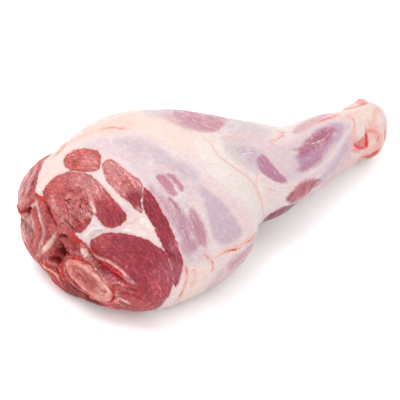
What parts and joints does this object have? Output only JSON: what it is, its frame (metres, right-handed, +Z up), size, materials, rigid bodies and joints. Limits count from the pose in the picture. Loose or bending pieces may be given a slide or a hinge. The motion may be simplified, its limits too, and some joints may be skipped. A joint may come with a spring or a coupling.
{
  "type": "raw leg of lamb",
  "caption": "Raw bone-in leg of lamb lying on its side: broad thigh with a domed cut face and sawn hip bone, tapering to the shank and its knuckle.",
  "frame": {"origin": "on the surface that the leg lies on, under the middle of its box", "axes": "+X along the leg from the cut face to the knuckle, +Z up; the sawn hip bone is on the -Y half of the cut face"},
  "size_m": [0.3748, 0.1806, 0.1179],
  "materials": {
    "meat_and_fell": "moist: dark pink-red muscle at the cut face, cream fat and lilac-grey fell elsewhere",
    "sawn_bone": "moist sawn bone, cream-pink rim round a spongy red core",
    "knuckle_tendon": "moist cream-pink tendon and thin fat over bone"
  },
  "bodies": {
    "root": {"leg_meat": "meat_and_fell", "hip_bone": "sawn_bone", "knuckle_bone": "knuckle_tendon"}
  },
  "joints": []
}
